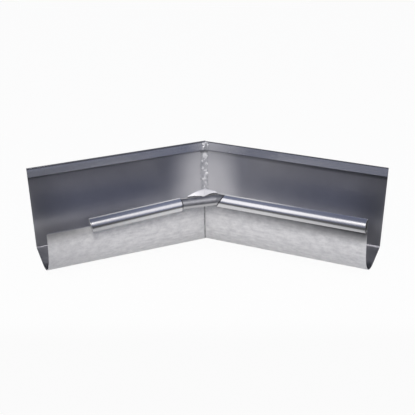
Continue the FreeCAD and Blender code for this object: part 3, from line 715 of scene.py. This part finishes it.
tint = add(tree, "ShaderNodeValToRGB", {"Fac": lump.outputs[0]},
           [(0.0, "#6C6D70"), (0.3, "#A8A9AC"), (0.6, "#C4C5C7"), (0.85, "#D0D0D2"),
            (1.0, "#FAFAFA")]).outputs["Color"]
# Painted shadow: the solder darkens just below the lip.
under_lip_shadow = add(tree, "ShaderNodeMapRange", {"Value": relief.outputs["Y"], "From Min": 0.8 * MM, "From Max": 3.0 * MM,
                                         "To Min": 0.6, "To Max": 0.0})
below = add(tree, "ShaderNodeMath", {0: height, 1: 88.5 * MM}, operation="LESS_THAN")
under_lip_shadow = add(tree, "ShaderNodeMath", {0: under_lip_shadow.outputs[0], 1: below.outputs[0]}, operation="MULTIPLY")
tint = add(tree, "ShaderNodeMix", {"Factor": under_lip_shadow.outputs[0], "A": tint, "B": linear("#3C3C3E")},
           data_type="RGBA")
rough = add(tree, "ShaderNodeMapRange", {"Value": skin.outputs[0], "From Min": 0.3, "From Max": 0.7,
                                         "To Min": 0.34, "To Max": 0.5})
dimple = add(tree, "ShaderNodeBump", {"Height": skin.outputs[0], "Strength": 0.8, "Distance": 0.7 * MM})
shader = add(tree, "ShaderNodeBsdfPrincipled", {"Base Color": tint.outputs["Result"], "Metallic": 0.5,
                                                "Roughness": rough.outputs[0], "Normal": dimple.outputs[0]})
add(tree, "ShaderNodeOutputMaterial", {"Surface": shader.outputs[0]})
solder = thick_sheet("solder_run", strips, [grey_solder])
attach(solder, "root")
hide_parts("solder_seam")

# FLOOR, LIGHT AND CAMERA
# A white floor, painted dark beyond a line in front of the object as at a table's front edge, with a low white
# board behind, a large soft box on either side of the camera, a narrow strong one above it and a dim bluish room.
# The camera stands in front and looks down into the trough.

TABLE = 8.0
BOARD, BOARD_AT, BOARD_TOP = (-0.55, 0.28), 1.4, 0.85


def stage_sheet(name, corners, material):
    """One flat square of the surroundings from its four corners."""
    mesh = bpy.data.meshes.new(name)
    mesh.from_pydata(corners, [], [[0, 1, 2, 3]])
    mesh.materials.append(material)
    made = bpy.data.objects.new(name, mesh)
    bpy.context.scene.collection.objects.link(made)


# Painted white, and so bright to the camera and in the metal that only the object's shadow shows on it. The board
# is a little brighter in the metal than the table. Beyond a line in front of the object the floor is painted dark
# in the metal and in its own shading, painted shade for a table's front edge falling away into the dark room, which
# the metal shows as a dark line.
pale, tree = new_material("white_table")
path = add(tree, "ShaderNodeLightPath")
where = add(tree, "ShaderNodeSeparateXYZ", {"Vector": add(tree, "ShaderNodeTexCoord").outputs["Object"]})
# Painted shade: the floor is darker in the metal and in its own shading beyond a line in front of the object.
near = add(tree, "ShaderNodeMapRange", {"Value": where.outputs["Y"], "From Min": -0.17, "From Max": -0.12,
                                        "To Min": 0.1, "To Max": 0.95}, interpolation_type="SMOOTHSTEP")
dim = add(tree, "ShaderNodeMath", {0: near.outputs[0], 1: 0.6}, operation="MULTIPLY").outputs[0]
tone = add(tree, "ShaderNodeCombineColor", {"Red": dim, "Green": dim, "Blue": dim})
matt = add(tree, "ShaderNodeBsdfDiffuse", {"Color": tone.outputs[0]})
white = add(tree, "ShaderNodeEmission", {"Color": linear("#FFFFFF"), "Strength": 1.0})
mirrored = add(tree, "ShaderNodeMath", {0: path.outputs["Is Glossy Ray"], 1: path.outputs["Is Transmission Ray"]},
               operation="ADD")
lift = add(tree, "ShaderNodeMapRange", {"Value": where.outputs["Z"], "From Max": 0.02, "To Min": 0.78})
shine = add(tree, "ShaderNodeMath", {0: near.outputs[0], 1: lift.outputs[0]}, operation="MULTIPLY")
shine = add(tree, "ShaderNodeMath", {0: mirrored.outputs[0], 1: shine.outputs[0]}, operation="MULTIPLY")
seen = add(tree, "ShaderNodeMath", {0: path.outputs["Is Camera Ray"], 1: 0.96, 2: shine.outputs[0]},
           operation="MULTIPLY_ADD")
mixed = add(tree, "ShaderNodeMixShader", {0: seen.outputs[0], 1: matt.outputs[0], 2: white.outputs[0]})
add(tree, "ShaderNodeOutputMaterial", {"Surface": mixed.outputs[0]})
stage_sheet("floor", [(-TABLE, -TABLE, 0), (TABLE, -TABLE, 0), (TABLE, TABLE, 0), (-TABLE, TABLE, 0)], pale)
stage_sheet("board", [(BOARD[0], BOARD_AT, 0), (BOARD[1], BOARD_AT, 0), (BOARD[1], BOARD_AT, BOARD_TOP),
                      (BOARD[0], BOARD_AT, BOARD_TOP)], pale)

world = bpy.data.worlds.new("dim_room")
bpy.context.scene.world = world
world.use_nodes = True
world.node_tree.nodes.clear()
room = add(world.node_tree, "ShaderNodeBackground", {"Color": linear("#D3DCFF"), "Strength": 0.36})
open_air = add(world.node_tree, "ShaderNodeBackground", {"Color": linear("#FFFFFF"), "Strength": 1.0})
ray = add(world.node_tree, "ShaderNodeLightPath").outputs["Is Camera Ray"]
air = add(world.node_tree, "ShaderNodeMixShader", {0: ray, 1: room.outputs[0], 2: open_air.outputs[0]})
add(world.node_tree, "ShaderNodeOutputWorld", {"Surface": air.outputs[0]})

BOX_AWAY = 1.2
BOXES = ((-49, 45, 0.9, 1.1, 3.5), (50, 45, 0.9, 1.1, 2.5), (0, 46, 0.14, 0.5, 128))    # turn, rise, size, power
for turn, rise, wide, high, power in BOXES:
    turn, rise = np.radians(turn), np.radians(rise)
    out = np.array([np.sin(turn) * np.cos(rise), -np.cos(turn) * np.cos(rise), np.sin(rise)])
    across = np.array([np.cos(turn), np.sin(turn), 0])
    light = bpy.data.lights.new("soft_box", "AREA")
    light.shape = "RECTANGLE"
    light.size, light.size_y = wide, high
    light.energy = power * wide * high
    light.color = linear("#FFFBF6")[:3]
    lamp = bpy.data.objects.new("soft_box", light)
    stands = np.eye(4)
    stands[:3] = np.stack([across, np.cross(out, across), out, out * BOX_AWAY], 1)
    lamp.matrix_world = Matrix(stands.tolist())
    bpy.context.scene.collection.objects.link(lamp)

FOCAL, SENSOR = 720.0 / 415, 36.0
DISTANCE, TILT, YAW, ROLL = 839.39, 0.4643, -0.012, -0.0098
TARGET = (np.array([2.4699, -50.0, 35.6026]) + CENTRE) * MM
forward = np.array([np.sin(YAW) * np.cos(TILT), np.cos(YAW) * np.cos(TILT), -np.sin(TILT)])
level = np.array([np.cos(YAW), -np.sin(YAW), 0])
right_hand = np.cos(ROLL) * level + np.sin(ROLL) * np.cross(level, forward)
eye = TARGET - DISTANCE * MM * forward
camera = bpy.data.cameras.new("camera")
camera.sensor_width = SENSOR
camera.lens = FOCAL * SENSOR
camera.clip_start = 0.01
tripod = bpy.data.objects.new("camera", camera)
stands = np.eye(4)
stands[:3] = np.stack([right_hand, np.cross(right_hand, forward), -forward, eye], 1)
tripod.matrix_world = Matrix(stands.tolist())
bpy.context.scene.collection.objects.link(tripod)
bpy.context.scene.camera = tripod
bpy.context.scene.view_settings.view_transform = "Standard"
